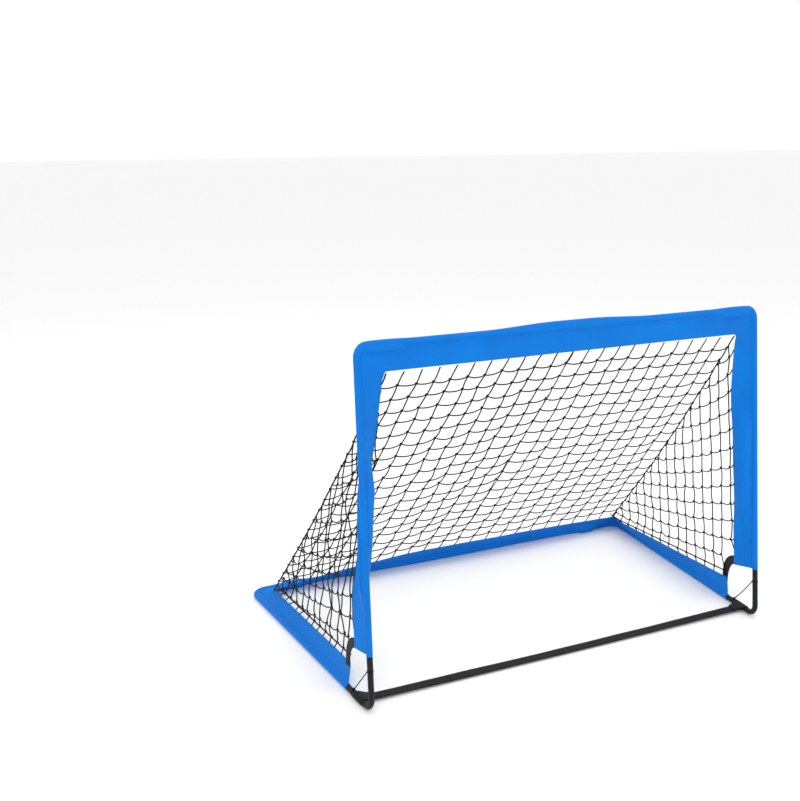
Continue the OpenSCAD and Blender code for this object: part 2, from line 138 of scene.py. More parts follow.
def post_dir(z, side):
    """From the post to its band's edge at height z."""
    high, low = TWIST_HIGH[side], TWIST_LOW[side]
    q = float(np.clip((high - z) / (high - low), 0, 1))
    a = POST_TURN[side] * (1 - (1 - q) ** TWIST_POWER[side])
    return IN * math.cos(a) + FWD * math.sin(a)


def post_loose(z):
    """How far the post sleeve opens into a loose tube where it turns: 0 flat to 1."""
    return float(ease((LOOSE_HIGH - z) / LOOSE_OVER) * ease((z - LOOSE_LOW) / LOOSE_OVER))


def post_tip(z, side):
    return on_post(z) + post_dir(z, side) * REACH * (1 - LOOSE_SHORT * post_loose(z))


def leaning(level, a):
    """The level direction tilted up by a."""
    return level * math.cos(a) + vec(0, 0, 1) * math.sin(a)


def base_dir(t, side):
    """From the base tube to its band's edge, as a share of the reach: the edge is a straight
    line from the upright front end to the narrower, leaning rear corner."""
    level = unit(np.cross(vec(0, 0, 1), BACK))
    return mix(leaning(level, BASE_TILT), leaning(level, REAR_TILT[side]) * CORNER_SHARE, t)


def rear_dir(x, side):
    """The same along the rear bar: the net pulls the edge up into a curve."""
    s = min(1.0, x / (HALF_FRONT - REAR_FLAT))
    forward = vec(0, -1, 0)
    return mix(leaning(forward, RISE), leaning(forward, REAR_TILT[side]) * CORNER_SHARE, s * s)


def inner_corner(reach, side):
    """Where the inner edges of the base and rear bands meet, at this reach from the tubes."""
    both = base_dir(1, side) + rear_dir(HALF_FRONT, side)
    return heel + (both - vec(0, 0, math.sin(REAR_TILT[side]) * CORNER_SHARE)) * reach


def on_post(z):
    return mix(foot, top, (z - foot[2]) / (top[2] - foot[2]))


def on_base(d):
    return foot + BACK * d


def corner(p, u, v, r, n):
    """n points round the corner at p, from direction u to v, bent with radius r."""
    turn = math.acos(float(u @ v))
    w = unit(v - u * (u @ v))
    c = p - u * r * math.tan(turn / 2) + w * r
    a = np.linspace(0, turn, n)[:, None]
    return c - w * r * np.cos(a) + u * r * np.sin(a)


def bezier(a, b, c, d, n):
    t = np.linspace(0, 1, n)[:, None]
    return a * (1 - t) ** 3 + 3 * b * t * (1 - t) ** 2 + 3 * c * t**2 * (1 - t) + d * t**3


def corner_dirs(u, v, n):
    """The directions that go with corner()'s points."""
    turn = math.acos(float(u @ v))
    w = unit(v - u * (u @ v))
    a = np.linspace(0, turn, n)[:, None]
    return u * np.cos(a) + w * np.sin(a)


# ---------- mesh helpers ----------


def new_object(name, verts, faces, materials, smooth=True):
    mesh = bpy.data.meshes.new(name)
    mesh.from_pydata([tuple(v) for v in verts], [], [tuple(f) for f in faces])
    mesh.validate()
    mesh.update()
    obj = bpy.data.objects.new(name, mesh)
    bpy.context.scene.collection.objects.link(obj)
    for m in materials:
        mesh.materials.append(m)
    if smooth:
        mesh.polygons.foreach_set("use_smooth", [True] * len(mesh.polygons))
    return obj


def set_uv(obj, uv_by_vert):
    """One UV per vertex, in metres along and across the cloth."""
    mesh = obj.data
    layer = mesh.uv_layers.new(name="UVMap")
    idx = np.zeros(len(mesh.loops), int)
    mesh.loops.foreach_get("vertex_index", idx)
    layer.data.foreach_set("uv", np.asarray(uv_by_vert)[idx].astype(np.float32).ravel())


def walked(p):
    """The distance walked along the points p, at each of them."""
    return np.concatenate([[0], np.cumsum(np.linalg.norm(np.diff(p, axis=0), axis=1))])


def ring_faces(n, k):
    """Faces of a closed skin over n rings of k points each, with both ends capped."""
    faces = []
    for i in range(n - 1):
        for a in range(k):
            b = (a + 1) % k
            faces.append((i * k + a, i * k + b, (i + 1) * k + b, (i + 1) * k + a))
    faces.append(tuple(range(k - 1, -1, -1)))
    faces.append(tuple((n - 1) * k + a for a in range(k)))
    return faces


class Builder:
    """Collects tubes, knots and strips into one mesh with a UV and a material number."""

    def __init__(self):
        self.v, self.f, self.uv, self.mat = [], [], [], []
        self.n = 0

    def add(self, verts, faces, uv, mat=0):
        verts = np.asarray(verts, float)
        self.v.append(verts)
        self.f += [tuple(int(i) + self.n for i in f) for f in faces]
        self.uv.append(np.asarray(uv, float))
        self.mat += [mat] * len(faces)
        self.n += len(verts)

    def make(self, name, materials):
        obj = new_object(name, np.vstack(self.v), self.f, materials)
        obj.data.polygons.foreach_set("material_index", self.mat)
        set_uv(obj, np.vstack(self.uv))
        return obj


def frames_along(p):
    """Tangents and a steady pair of normals along the points p."""
    t = np.gradient(p, axis=0)
    t /= np.maximum(np.linalg.norm(t, axis=1, keepdims=True), 1e-9)
    ref = vec(0.31, 0.62, 0.72)
    if abs(float(unit(ref) @ t[0])) > 0.9:
        ref = vec(0.72, -0.31, 0.2)
    s = [unit(np.cross(t[0], ref))]
    for i in range(1, len(p)):
        q = s[-1] - t[i] * (s[-1] @ t[i])
        s.append(unit(q))
    s = np.array(s)
    return t, s, np.cross(t, s)


def tube(builder, p, r, sides=6):
    """A round strand along p; r is a number or one radius per point."""
    p = np.asarray(p, float)
    _, s, c = frames_along(p)
    r = np.broadcast_to(np.asarray(r, float), (len(p),))
    a = np.arange(sides) * 2 * math.pi / sides
    ring = p[:, None] + (
        s[:, None] * np.cos(a)[None, :, None] + c[:, None] * np.sin(a)[None, :, None]
    ) * r[:, None, None]
    round_it = np.tile(a / (2 * math.pi), len(p)) * 2 * math.pi * r.mean()
    uv = np.stack([np.repeat(walked(p), sides), round_it], -1)
    builder.add(ring.reshape(-1, 3), ring_faces(len(p), sides), uv)


def mirrored(verts):
    return np.asarray(verts) * vec(-1, 1, 1)


def finish_side(builder, name, materials, s):
    """The builder's object, mirrored to the left side where s is negative."""
    if s < 0:
        builder.v = [mirrored(v) for v in builder.v]
        builder.f = [f[::-1] for f in builder.f]
    return builder.make(name, materials)


# ---------- camera, floor and light ----------


def make_camera():
    """The photograph's view: place, turn and lens came from a fit to the goal's six corners."""
    az, el, roll = math.radians(-26.51), math.radians(11.11), math.radians(0.26)
    place = Vector((-1.521, -2.668, 1.420))
    lens, sensor = 50.2022472, 36.0
    shift = (-0.06242197253, -0.08801498127)
    back = Vector((math.sin(az) * math.cos(el), -math.cos(az) * math.cos(el), math.sin(el)))
    right = (-back).cross(Vector((0, 0, 1))).normalized()
    up = back.cross(right).normalized()
    right, up = (
        right * math.cos(roll) + up * math.sin(roll),
        up * math.cos(roll) - right * math.sin(roll),
    )
    cam = bpy.data.cameras.new("camera")
    obj = bpy.data.objects.new("camera", cam)
    bpy.context.scene.collection.objects.link(obj)
    m = Matrix.Identity(4)
    for i, axis in enumerate((right, up, back)):
        for k in range(3):
            m[k][i] = axis[k]
    m.translation = place
    obj.matrix_world = m
    cam.sensor_width, cam.lens = sensor, lens
    cam.shift_x, cam.shift_y = shift
    cam.clip_start, cam.clip_end = 0.05, 60
    bpy.context.scene.camera = obj


class Shader:
    """A new material, with short ways to add the nodes that the materials here share."""

    def __init__(self, name):
        self.mat = bpy.data.materials.new(name)
        self.mat.use_nodes = True
        self.nodes, self.links = self.mat.node_tree.nodes, self.mat.node_tree.links
        self.nodes.clear()
        out = self.nodes.new("ShaderNodeOutputMaterial")
        self.bsdf = self.nodes.new("ShaderNodeBsdfPrincipled")
        self.links.new(self.bsdf.outputs["BSDF"], out.inputs["Surface"])

    def feed(self, socket, x):
        """x, a value or another node's output, into a socket."""
        if isinstance(x, bpy.types.NodeSocket):
            self.links.new(x, socket)
        else:
            socket.default_value = x

    def look(self, **inputs):
        """Sets the surface's inputs, their names written with _ for a space."""
        for name, x in inputs.items():
            self.feed(self.bsdf.inputs[name.replace("_", " ")], x)

    def uv(self):
        node = self.nodes.new("ShaderNodeUVMap")
        node.uv_map = "UVMap"
        return node.outputs["UV"]

    def place(self):
        return self.nodes.new("ShaderNodeTexCoord").outputs["Object"]

    def axes(self, source):
        node = self.nodes.new("ShaderNodeSeparateXYZ")
        self.links.new(source, node.inputs[0])
        return node.outputs

    def scaled(self, source, scale):
        node = self.nodes.new("ShaderNodeMapping")
        node.inputs["Scale"].default_value = scale
        self.links.new(source, node.inputs["Vector"])
        return node.outputs["Vector"]

    def noise(self, source, scale, detail, distortion=0.0):
        node = self.nodes.new("ShaderNodeTexNoise")
        node.inputs["Scale"].default_value = scale
        node.inputs["Detail"].default_value = detail
        node.inputs["Distortion"].default_value = distortion
        self.links.new(source, node.inputs["Vector"])
        return node.outputs["Fac"]

    def maths(self, op, *terms):
        node = self.nodes.new("ShaderNodeMath")
        node.operation = op
        for socket, x in zip(node.inputs, terms):
            self.feed(socket, x)
        return node.outputs[0]

    def total(self, a, share_a, b, share_b):
        """a and b, each times its share, added up."""
        a, b = self.maths("MULTIPLY", a, share_a), self.maths("MULTIPLY", b, share_b)
        return self.maths("ADD", a, b)

    def ramp(self, fac, stops):
        """Colours at places from 0 to 1, picked by fac; a single number is a grey."""
        node = self.nodes.new("ShaderNodeValToRGB")
        marks = node.color_ramp.elements
        while len(marks) < len(stops):
            marks.new(0.5)
        for mark, (place, colour) in zip(marks, stops):
            mark.position = place
            mark.color = (*(colour if isinstance(colour, tuple) else (colour,) * 3), 1)
        self.links.new(fac, node.inputs["Fac"])
        return node.outputs["Color"]

    def multiplied(self, a, b, share):
        """Colour a darkened by colour b."""
        node = self.nodes.new("ShaderNodeMix")
        node.data_type, node.blend_type = "RGBA", "MULTIPLY"
        node.inputs[0].default_value = share
        self.links.new(a, node.inputs[6])
        self.links.new(b, node.inputs[7])
        return node.outputs[2]

    def relief(self, height, strength):
        """Fine relief, its height in metres."""
        node = self.nodes.new("ShaderNodeBump")
        node.inputs["Strength"].default_value = strength
        node.inputs["Distance"].default_value = 1.0
        self.links.new(height, node.inputs["Height"])
        self.look(Normal=node.outputs["Normal"])


def make_floor():
    paint = Shader("floor_paint")
    paint.look(Base_Color=(0.93, 0.93, 0.93, 1), Roughness=0.6, Specular_IOR_Level=0.2)
    half, z = 30.0, -0.0008
    square = [(-half, -half, z), (half, -half, z), (half, half, z), (-half, half, z)]
    new_object("floor", square, [(0, 1, 2, 3)], [paint.mat], smooth=False)


def area_light(name, place, target, size, power):
    data = bpy.data.lights.new(name, "AREA")
    data.shape = "RECTANGLE"
    data.size, data.size_y = size
    data.energy = power
    obj = bpy.data.objects.new(name, data)
    bpy.context.scene.collection.objects.link(obj)
    obj.location = place
    d = Vector(target) - Vector(place)
    obj.rotation_mode = "QUATERNION"
    obj.rotation_quaternion = d.to_track_quat("-Z", "Y")


def make_lights():
    world = bpy.data.worlds.new("studio")
    world.use_nodes = True
    world.node_tree.nodes["Background"].inputs["Color"].default_value = (1, 1, 1, 1)
    world.node_tree.nodes["Background"].inputs["Strength"].default_value = 1.0
    bpy.context.scene.world = world
    area_light("key", (-2.6, -3.4, 3.4), (0, 0, 0.4), (2.6, 2.6), 60)
    area_light("fill", (3.6, -2.2, 2.4), (0, 0, 0.4), (2.6, 2.6), 30)
    area_light("top", (0.2, 0.8, 4.2), (0, 0, 0), (3.0, 3.0), 30)
    view = bpy.context.scene.view_settings
    view.view_transform = "Standard"
    view.look = "None"


# ---------- materials ----------


def weave_height(shader, uv, pitch):
    """Plain weave of threads at the given pitch in metres: 0 low to 1 high."""
    x = shader.axes(uv)
    k = math.pi / pitch
    a = shader.maths("SINE", shader.maths("MULTIPLY", x[0], k))
    b = shader.maths("SINE", shader.maths("MULTIPLY", x[1], k))
    pick = shader.maths("GREATER_THAN", shader.maths("MULTIPLY", a, b), 0.0)
    warp = shader.maths("MULTIPLY", shader.maths("ABSOLUTE", a), pick)
    under = shader.maths("SUBTRACT", 1.0, pick)
    weft = shader.maths("MULTIPLY", shader.maths("ABSOLUTE", b), under)
    return shader.maths("ADD", warp, weft)


def make_oxford():
    """Blue coated polyester: a plain weave, faint slubs and creases, in soft clouds of tone, with painted shade
    darkening the weave's low points between the threads.
    """
    m = Shader("blue_oxford")
    uv, place = m.uv(), m.place()
    weave = weave_height(m, uv, 0.0009)
    slub = m.noise(m.scaled(uv, (60, 900, 1)), 1.0, 3.0)
    cloud = m.noise(place, 9.0, 4.0)
    blues = [
        (0.25, (0.0004, 0.143, 0.545)),
        (0.55, (0.0008, 0.177, 0.640)),
        (0.85, (0.0030, 0.215, 0.705)),
    ]
    tone = m.ramp(m.total(cloud, 0.62, slub, 0.38), blues)
    # painted shade: the weave's low points between the threads are darkened to about three quarters of the blue
    weave_shade = m.ramp(weave, [(0.0, (0.72, 0.76, 0.80)), (0.7, 1.0)])
    crease_height = m.noise(place, 34.0, 5.0, 0.4)
    m.look(
        Base_Color=m.multiplied(tone, weave_shade, 0.8),
        Roughness=m.ramp(cloud, [(0.3, 0.50), (0.8, 0.66)]),
        Specular_IOR_Level=0.10,
        Sheen_Weight=0.03,
        Sheen_Tint=(0.15, 0.55, 1.0, 1),
        Sheen_Roughness=0.45,
    )
    m.relief(m.total(weave, 0.00022, crease_height, 0.0022), 0.55)
    return m.mat


def make_webbing(name, pitch, colour=(0.006, 0.006, 0.0065), rough=0.62):
    """Woven band or thread: slanted ribs across it with a slight gloss, its colour partly random dust tone and
    partly a painted highlight on the rib crests with painted shade in the grooves.
    """
    m = Shader(name)
    x = m.axes(m.uv())
    zig = m.maths("PINGPONG", x[1], 0.004)
    along = m.maths("ADD", x[0], m.maths("MULTIPLY", zig, 0.6))
    wave = m.maths("SINE", m.maths("MULTIPLY", along, 2 * math.pi / pitch))
    rib = m.maths("MULTIPLY_ADD", wave, 0.5, 0.5)
    dust = m.noise(m.place(), 120.0, 4.0)
    # painted highlight and shade: the colour follows the ribs' height, lighter on the crests and darker in the
    # grooves, mixed half and half with random dust tone
    lit_rib_tones = [(q, tuple(k * c for c in colour)) for q, k in ((0.2, 0.55), (0.6, 1), (0.9, 2.6))]
    m.look(
        Base_Color=m.ramp(m.total(rib, 0.5, dust, 0.5), lit_rib_tones),
        Roughness=rough,
        Specular_IOR_Level=0.16,
        Sheen_Weight=0.04,
        Sheen_Roughness=0.4,
    )
    m.relief(m.total(rib, 0.0003, dust, 0.0003), 0.7)
    return m.mat


def make_twine():
    """Black twisted twine: the strands run slanted round it, with a painted highlight on their crests and painted
    shade between them, mixed with random dust tone.
    """
    m = Shader("net_twine")
    x = m.axes(m.uv())
    slant = m.total(x[0], 2 * math.pi / 0.0042, x[1], 3 * 2 * math.pi / 0.0076)
    twist = m.maths("ABSOLUTE", m.maths("SINE", slant))
    dust = m.noise(m.place(), 60.0, 3.0)
    # painted highlight and shade: lighter on the strands' crests, darker between them, mixed with random dust tone
    lit_strand_blacks = [
        (0.15, (0.0015, 0.0015, 0.002)),
        (0.6, (0.004, 0.004, 0.005)),
        (0.95, (0.016, 0.016, 0.018)),
    ]
    m.look(
        Base_Color=m.ramp(m.total(twist, 0.55, dust, 0.45), lit_strand_blacks),
        Roughness=0.55,
        Specular_IOR_Level=0.12,
        Sheen_Weight=0.02,
    )
    m.relief(m.maths("MULTIPLY", twist, 0.00025), 0.8)
    return m.mat


def make_metal(name, colour, rough, scratch, metallic=1.0):
    """Plated or painted steel with fine scratches and duller patches."""
    m = Shader(name)
    place = m.place()
    fine = m.noise(m.scaled(place, (scratch * 0.12, scratch, scratch)), 1.0, 5.0)
    patch = m.noise(place, 45.0, 3.0)
    m.look(
        Base_Color=m.ramp(patch, [(0.3, tuple(0.75 * c for c in colour)), (0.7, colour)]),
        Roughness=m.ramp(patch, [(0.3, rough * 0.8), (0.75, min(1.0, rough * 1.35))]),
        Metallic=metallic,
    )
    m.relief(m.maths("MULTIPLY", fine, 0.0002), 0.25)
    return m.mat


OXFORD = make_oxford()
WEBBING = make_webbing("black_webbing", 0.0022)
COVER = make_webbing("black_cover", 0.0016, (0.009, 0.009, 0.010), 0.42)
STITCH = make_webbing("blue_thread", 0.0009, (0.02, 0.22, 0.72), 0.55)
TWINE = make_twine()
PAINT = make_metal("satin_black_paint", (0.02, 0.02, 0.022), 0.38, 500, 0.0)
ZINC = make_metal("zinc_plate", (0.55, 0.56, 0.58), 0.34, 900)
PIN = make_metal("bright_steel", (0.62, 0.63, 0.65), 0.26, 1200)

# ---------- sleeves ----------


def resample(points, step):
    """Shares 0..len-1 at which an evenly spaced walk along the points falls."""
    long = walked(points)
    n = max(2, int(round(long[-1] / step)) + 1)
    return np.interp(np.linspace(0, long[-1], n), long, np.arange(len(points)))


def at(values, shares):
    """The values at those shares, read off between their neighbours."""
    i = np.minimum(shares.astype(int), len(values) - 2)
    f = (shares - i)[:, None]
    return values[i] * (1 - f) + values[i + 1] * f


def profile(n_hem=12, n_band=14, n_edge=4):
    """Half of the band's cross-section, from the hem's far side to the inner edge: kind and share."""
    hem = [("hem", i / (n_hem - 1)) for i in range(n_hem)]
    neck = [("neck", i / 4) for i in range(1, 5)]
    band = [("band", i / n_band) for i in range(1, n_band + 1)]
    edge = [("edge", i / n_edge) for i in range(1, n_edge + 1)]
    return hem + neck + band + edge


PROFILE = profile()
# where the band leaves the hem, and how much further on over an end hinge
NECK_U, NECK_MORE = 0.0128, 0.010
HEM_END = math.radians(118)
# half the thickness of the flat cloth, and of its very edge, as shares of CLOTH
FLAT, THIN = 0.36, 0.16
# how far the hem stands off along the tube's middle, end and lug hinges, and over an end's sides
MIDDLE_FAR, END_FAR, LUG_FAR, HINGE_WIDE = 0.0070, 0.0015, 0.0062, 0.0092
PUSH_FROM, PUSH_OVER, PUSH_POWER, PUSH_WIDE = 0.012, 0.012, 4.2, 1.06
LOOSE_H, LOOSE_BOW = 0.0160, 0.0110
EDGE_W = 0.0060


def section(reach, bulge_in, loose):
    """(u, half thickness) of one cross-section. bulge_in thickens it over an end hinge's lugs,
    and loose opens the band into a tube."""
    out = []
    neck_u = NECK_U + NECK_MORE * bulge_in
    u_e = -HEM_R * math.cos(HEM_END)
    h_e = HEM_R * math.sin(HEM_END)
    for kind, s in PROFILE:
        if kind == "hem":
            a = HEM_END * s
            u, h = -HEM_R * math.cos(a), HEM_R * math.sin(a)
        elif kind == "neck":
            u = mix(u_e, neck_u, s)
            h = mix(h_e, CLOTH * FLAT, ease(s) ** 0.8)
        elif kind == "band":
            u = mix(neck_u, reach - EDGE_W, s)
            crown = 0.26 * math.sin(math.pi * min(1, s * 1.02)) ** 0.5 if s < 0.999 else 0
            h = CLOTH * (FLAT + crown)
        else:
            u = mix(reach - EDGE_W, reach, s)
            bead = 0.42 * math.sin(math.pi * min(0.999, s * 0.9 + 0.06)) ** 0.6
            h = CLOTH * (FLAT + bead if s < 1 else THIN)
        if bulge_in > 0:
            cover = HINGE_WIDE * bulge_in * (1 - ease((u - 0.0145) / 0.013)) * ease((u + 0.010) / 0.008)
            h = max(h, cover)
        if loose > 0 and u > u_e:
            v = min(1.0, (u + HEM_R) / (reach + HEM_R))
            open_h = LOOSE_H * math.sin(math.pi * v**0.75) ** 0.9
            h = max(h, loose * open_h * float(ease((u - u_e + 0.003) / 0.012)))
        out.append((u, h))
    return out


def wrinkle(p, q, seed):
    """How far the cloth stands off its plane at a point p, a share q of the way to its edge."""
    v = Vector(p)
    broad = noise.noise(v * 7.5 + Vector((seed, 3.1, -seed)))
    mid = noise.noise(v * 19.0 + Vector((-seed, seed, 5.7)))
    small = noise.noise(v * 46.0 + Vector((2.3, -seed, seed)))
    rim = math.sin(math.pi * min(1.0, q * 0.9)) ** 0.7 if q > 0 else 0.0
    return 0.0018 * broad * q + (0.0009 * mid + 0.0004 * small) * rim


SEAMS = (
    next(i for i, (kind, _) in enumerate(PROFILE) if kind == "band"),
    len(PROFILE) - 3,
)
STITCH_STEP, STITCH_LONG, STITCH_R = 0.0042, 0.0029, 0.0004


def stitches(builder, line, normal):
    """A row of short threads lying on the cloth along line."""
    long = walked(line)
    starts = np.arange(STITCH_STEP, long[-1] - STITCH_STEP, STITCH_STEP)

    def place(values, s):
        """The values at distance s along the row."""
        return np.stack([np.interp(s, long, values[:, k]) for k in range(3)], -1)

    a, b = place(line, starts), place(line, starts + STITCH_LONG)
    w = place(normal, starts)
    w /= np.linalg.norm(w, axis=1, keepdims=True)
    along = (b - a) / np.maximum(np.linalg.norm(b - a, axis=1, keepdims=True), 1e-9)
    side = np.cross(along, w) * STITCH_R
    up = w * STITCH_R
    ends = [a - side - up, a - side * 0.6 + up, a + side * 0.6 + up, a + side - up]
    ends += [e + (b - a) for e in ends]
    verts = np.stack(ends, 1).reshape(-1, 3)
    box = ((0, 1, 2, 3), (7, 6, 5, 4), (0, 4, 5, 1), (1, 5, 6, 2), (2, 6, 7, 3), (3, 7, 4, 0))
    faces = [tuple(8 * i + k for k in f) for i in range(len(starts)) for f in box]
    uv = np.repeat(np.stack([starts, starts * 0], -1), 8, axis=0)
    uv[:, 0] += np.tile([0] * 4 + [STITCH_LONG] * 4, len(starts))
    builder.add(verts, faces, uv, 1)


def pushed(p, c, way, far, share):
    """p moved so that the round hem stretches by far towards way and turns squarish there."""
    out = p - c
    long = float(np.linalg.norm(out))
    fade = share * (1 - float(ease((long - PUSH_FROM) / PUSH_OVER)))
    if fade <= 0:
        return p
    n = out / long
    facing = float(n @ way)
    aside = n - way * facing
    s = float(np.linalg.norm(aside))
    if s > 1e-6:
        wide = HEM_R * PUSH_WIDE * s ** (2 / PUSH_POWER) - HEM_R * s
        p = p + aside / s * wide * fade
    if facing > 0:
        p = p + way * ((HEM_R + far) * facing ** (2 / PUSH_POWER) - HEM_R * facing) * fade
    return p


class Sleeve:
    """Stations along one sleeve: tube centre, direction, inner edge, and how the hinges bulge it."""

    def __init__(self, centre, way, tips, loose=None, step=MESH_STEP):
        centre, way, tips = (np.asarray(a, float) for a in (centre, way, tips))
        loose = np.zeros(len(centre)) if loose is None else np.asarray(loose, float)
        middle = (centre + tips) / 2
        shares = resample(middle, step)
        self.c = at(centre, shares)
        self.t = at(way, shares)
        self.t /= np.linalg.norm(self.t, axis=1, keepdims=True)
        self.tip = at(tips, shares)
        self.loose = at(loose[:, None], shares)[:, 0]
        self.s = walked((self.c + self.tip) / 2)
        self.hinges = []

    def build(self, name, seed, mirror=False):
        """The sleeve's skin and its rows of stitches, with sharp edges round both ends."""
        n, m = len(self.c), len(PROFILE)
        flip = vec(-1, 1, 1) if mirror else vec(1, 1, 1)
        verts, uvs, seams = [], [], []
        for i in range(n):
            c, t, tip = self.c[i], self.t[i], self.tip[i]
            reach = float(np.linalg.norm(tip - c))
            d = (tip - c) / reach
            w = unit(np.cross(t, d))
            across = np.cross(w, t)
            neck = c + across * NECK_U
            inner, pushes = 0.0, []
            for place, kind, half, way, far in self.hinges:
                g = float(ease(1.25 * max(0.0, 1 - np.linalg.norm(c - place) / half)))
                if g > 0:
                    pushes.append((way, far, g))
                if kind == "end":
                    inner = max(inner, g)
            ring = section(reach, inner, self.loose[i])
            top_side, low_side = [], []
            for u, h in ring:
                q = max(0.0, (u - NECK_U) / (reach - NECK_U))
                p = mix(neck, tip, q) if q > 0 else c + across * u
                off = wrinkle(p * flip, q, seed) * (1 + self.loose[i]) if q > 0 else 0.0
                off += LOOSE_BOW * self.loose[i] * math.sin(math.pi * q)
                pair = [p + w * (off + h), p + w * (off - h)]
                for push in pushes:
                    pair = [pushed(v, c, *push) for v in pair]
                for v in pair:
                    v[2] = max(v[2], REST_Z)
                top_side.append(pair[0])
                low_side.append(pair[1])
            verts += top_side + low_side[-2:0:-1]
            us = [r[0] for r in ring]
            uvs += [(self.s[i], u) for u in us] + [(self.s[i], -u) for u in us[-2:0:-1]]
            seams.append([(top_side[k], w) for k in SEAMS] + [(low_side[k], -w) for k in SEAMS])
        k = 2 * m - 2
        faces = []
        for i in range(n - 1):
            for j in range(k):
                j2 = (j + 1) % k
                faces.append((i * k + j, (i + 1) * k + j, (i + 1) * k + j2, i * k + j2))
        caps = [tuple(range(k)), tuple((n - 1) * k + j for j in range(k - 1, -1, -1))]
        b = Builder()
        b.add(verts, faces + caps, uvs)
        for j in range(2 * len(SEAMS)):
            line, normal = (np.array([row[j][part] for row in seams]) for part in (0, 1))
            stitches(b, line, normal)
        obj = finish_side(b, name, [OXFORD, STITCH], -1 if mirror else 1)
        ends = set(range(k)) | set(range((n - 1) * k, n * k))
        for edge in obj.data.edges:
            i, j = edge.vertices
            if i in ends and j in ends and (i < k) == (j < k):
                edge.use_edge_sharp = True
        return obj


def post_sleeve_stations(to_x, side):
    """From the post's foot round the top corner and along the crossbar to to_x."""
    zs = np.linspace(POST_END, POST_TO, 60)
    n = 14
    line = [on_post(z) for z in zs]
    way = [UP for _ in zs]
    tips = [post_tip(z, side) for z in zs]
    loose = [post_loose(z) for z in zs]
    line += list(corner(top, UP, IN, TOP_BEND, n))
    way += list(corner_dirs(UP, IN, n))
    tips += list(corner(top + (IN - UP) * REACH, UP, IN, INNER_R, n))
    for x in np.linspace(top[0] - REACH - INNER_R - CORNER_GAP, to_x, 40):
        p = vec(x, top[1], top[2])
        line.append(p)
        way.append(IN)
        tips.append(p - UP * REACH)
    return line, way, tips, loose + [0.0] * (len(line) - len(loose))


def base_sleeve_stations(to_x, side):
    """From the base tube's front round the rear corner and along the rear bar to to_x."""
    ts = np.linspace(0, 1, 80)
    n = 14
    line, way, tips = [], [], []
    for t in ts:
        p = on_base(mix(BASE_START, BASE_TO, t))
        line.append(p)
        way.append(BACK)
        tips.append(p + base_dir(t, side) * REACH)
    inner = inner_corner(REACH, side)
    line += list(corner(heel, BACK, IN, REAR_BEND, n))
    way += list(corner_dirs(BACK, IN, n))
    tips += list(corner(inner, BACK, IN, INNER_R, n))
    for x in np.linspace(min(heel[0] - REAR_BEND, inner[0] - INNER_R) - CORNER_GAP, to_x, 60):
        p = vec(x, heel[1], heel[2])
        line.append(p)
        way.append(IN)
        tips.append(p + rear_dir(x, side) * REACH)
    return line, way, tips


def sleeve_piece(replaced):
    """Hides the CAD nodes that a sleeve stands for."""
    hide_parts(*replaced)


def make_sleeves():
    """Top and base sleeves on each side, bulged over the end hinges, and the crossbar's middle."""
    pin_top = vec(HINGE_X, top[1], top[2])
    pin_rear = vec(HINGE_X, heel[1], heel[2])
    mid_top, mid_rear = vec(0, top[1], top[2]), vec(0, heel[1], heel[2])
    for side, s in (("right", 1), ("left", -1)):
        sleeve = Sleeve(*post_sleeve_stations(SPLIT_X, side))
        sleeve.hinges = [(pin_top, "end", END_HALF, UP, END_FAR)]
        obj = sleeve.build(f"sleeve_top_{side}", TOP_SEED, s < 0)
        start = vec(s * (HINGE_X + BLEND_W), top[1], top[2])
        end = start + vec(-s * BLEND_W, 0, BLEND_W)
        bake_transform(obj)
        sleeve_piece([f"post_sleeve_{side}"])

        sleeve = Sleeve(*base_sleeve_stations(HALF_GAP, side))
        sleeve.hinges = [
            (pin_rear, "end", END_HALF, vec(0, 1, 0), END_FAR),
            (pin_rear, "lugs", LUG_HALF, vec(0, -1, 0), LUG_FAR),
            (mid_rear, "middle", MIDDLE_HALF, vec(0, 1, 0), MIDDLE_FAR),
        ]
        obj = sleeve.build(f"sleeve_base_{side}", BASE_SEED, s < 0)
        start = vec(s * (HINGE_X + BLEND_W), heel[1], heel[2])
        end = start + vec(-s * BLEND_W, BLEND_W, 0)
        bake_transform(obj)
        sleeve_piece([f"base_sleeve_{side}", f"rear_sleeve_{side}"])

    xs = np.linspace(SPLIT_X, -SPLIT_X, 60)
    line = [vec(x, top[1], top[2]) for x in xs]
    sleeve = Sleeve(line, [IN for _ in xs], [p - UP * REACH for p in line])
    sleeve.hinges = [(mid_top, "middle", MIDDLE_HALF, UP, MIDDLE_FAR)]
    obj = sleeve.build("sleeve_top_centre", TOP_SEED)
    start, end = ((x, top[1], top[2]) for x in (MIDDLE_BLEND / 2, -MIDDLE_BLEND / 2))
    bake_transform(obj)
    sleeve_piece(["crossbar_sleeve_right", "crossbar_sleeve_left"])


# ---------- net ----------

MESH_COLUMNS = 11
BACK_ROWS = 20
TWINE_R = 0.0017
KNOT_R = 0.0034
CREASE_SAG = 0.009
# the net's threads end this far inside the bands' edge
TIE_IN = 0.003
# the side's columns: their spacing, and the rows where they meet the post, from the top down
COLUMN_STEP, SIDE_ROWS = 0.045, 12
ROW_TOP, ROW_STEP = 0.772, 0.0555
# the corner's curved webbing: its ends along and up the tubes, inwards, and its curve's pull
RING_BACK, RING_UP, RING_IN, RING_HANDLE = 0.047, 0.067, 0.052, 0.045
RING_LOW_AT, RING_HIGH_AT = 0.140, 0.157
mitre_top = top - UP * NET_TOP + IN * NET_TOP
mitre_rear = {side: inner_corner(NET_TOP, side) for side in REAR_TILT}


def crease(t, side):
    """Where back and side of the net meet, from the top corner (t = 0) to the rear one (t = 1)."""
    return mix(mitre_top, mitre_rear[side], t) - vec(0, 1, 1) * CREASE_SAG * math.sin(math.pi * t)


